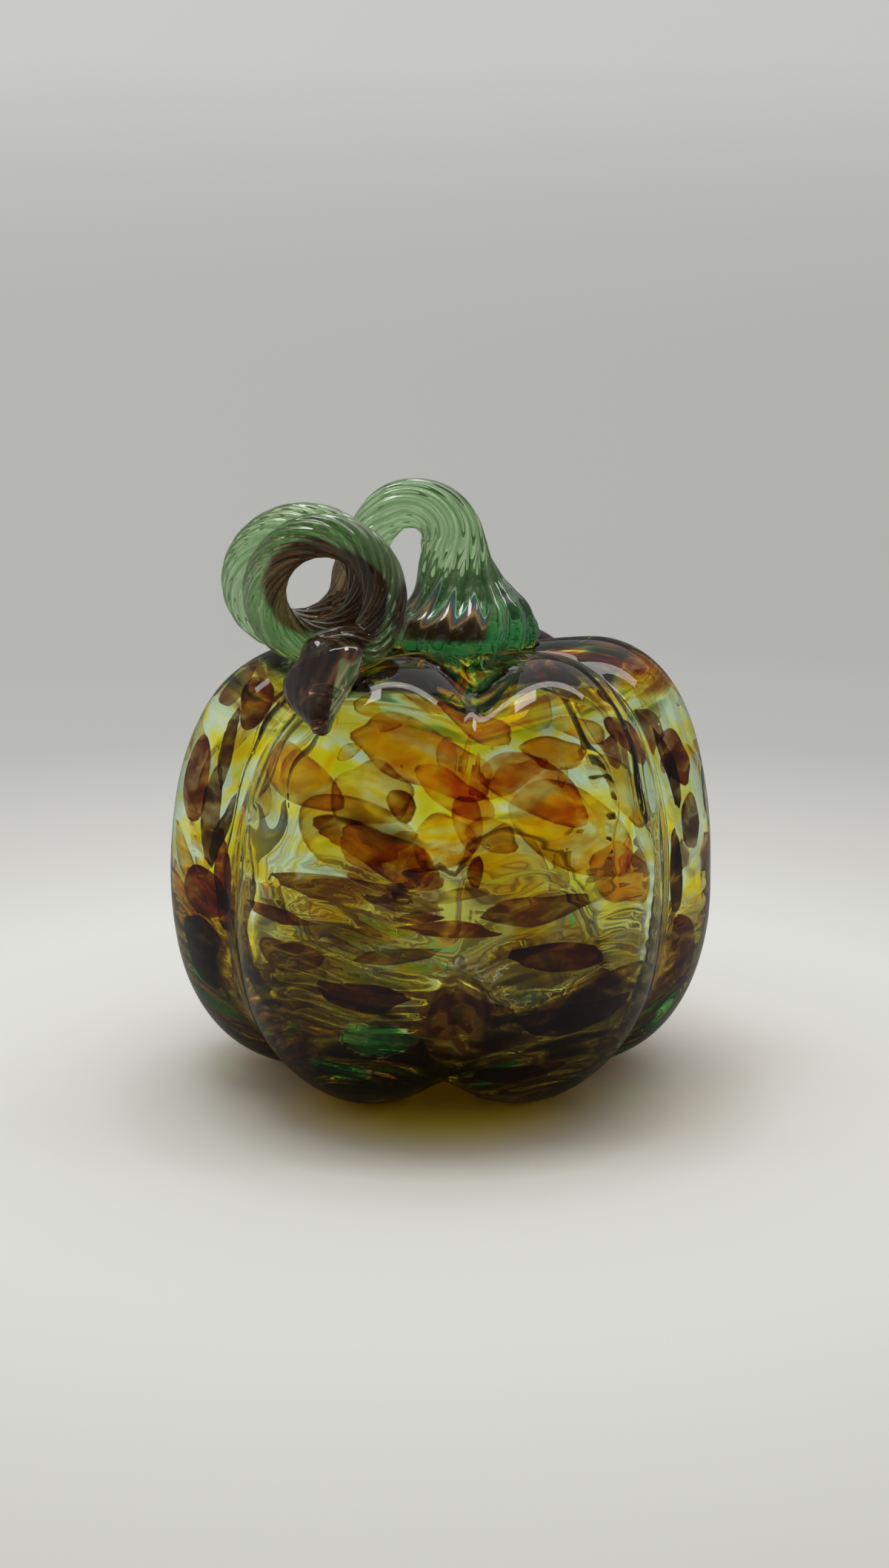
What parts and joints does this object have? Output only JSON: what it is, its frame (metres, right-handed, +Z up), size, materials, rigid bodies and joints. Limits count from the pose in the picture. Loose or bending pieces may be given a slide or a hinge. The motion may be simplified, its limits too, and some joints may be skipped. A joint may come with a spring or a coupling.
{
  "type": "glass pumpkin",
  "caption": "Hand-blown ribbed glass pumpkin with a clear casing over colour chips and a fluted, coiled stem.",
  "frame": {"origin": "on the table, under the middle of the body's widest ring", "axes": "+Z up, -Y towards the front, where the stem's coil and tip are; +X to the right seen from the front"},
  "size_m": [0.1398, 0.1326, 0.1522],
  "materials": {
    "bubble_glass": "transparent yellow-green soda-lime glass, fire polished",
    "casing_glass": "clear soda-lime glass, fire polished",
    "oxblood_glass": "transparent dark red-brown colour chip",
    "amber_glass": "transparent amber colour chip",
    "honey_glass": "transparent honey colour chip",
    "red_amber_glass": "transparent red-amber colour chip",
    "green_glass": "transparent emerald colour chip",
    "dark_brown_glass": "near-black brown colour chip",
    "stem_glass": "streaky jade green glass with a brown side and a lustre sheen, fire polished"
  },
  "bodies": {
    "root": {"inner_bubble": "bubble_glass", "colour_chip_1_1": "oxblood_glass", "colour_chip_1_2": "amber_glass", "colour_chip_1_3": "honey_glass", "colour_chip_1_4": "red_amber_glass", "colour_chip_1_5": "green_glass", "colour_chip_1_6": "dark_brown_glass", "colour_chip_2_1": "amber_glass", "colour_chip_2_2": "honey_glass", "colour_chip_2_3": "red_amber_glass", "colour_chip_2_4": "green_glass", "colour_chip_2_5": "dark_brown_glass", "colour_chip_2_6": "oxblood_glass", "colour_chip_3_1": "honey_glass", "colour_chip_3_2": "red_amber_glass", "colour_chip_3_3": "green_glass", "colour_chip_3_4": "dark_brown_glass", "colour_chip_3_5": "oxblood_glass", "colour_chip_3_6": "amber_glass", "colour_chip_4_1": "red_amber_glass", "colour_chip_4_2": "green_glass", "colour_chip_4_3": "dark_brown_glass", "colour_chip_4_4": "oxblood_glass", "colour_chip_4_5": "amber_glass", "colour_chip_4_6": "honey_glass", "colour_chip_5_1": "green_glass", "colour_chip_5_2": "dark_brown_glass", "colour_chip_5_3": "oxblood_glass", "colour_chip_5_4": "amber_glass", "colour_chip_5_5": "honey_glass", "colour_chip_5_6": "red_amber_glass", "colour_chip_6_1": "dark_brown_glass", "colour_chip_6_2": "oxblood_glass", "colour_chip_6_3": "amber_glass", "colour_chip_6_4": "honey_glass", "colour_chip_6_5": "red_amber_glass", "colour_chip_6_6": "green_glass", "clear_casing": "casing_glass", "stem": "stem_glass"}
  },
  "joints": []
}
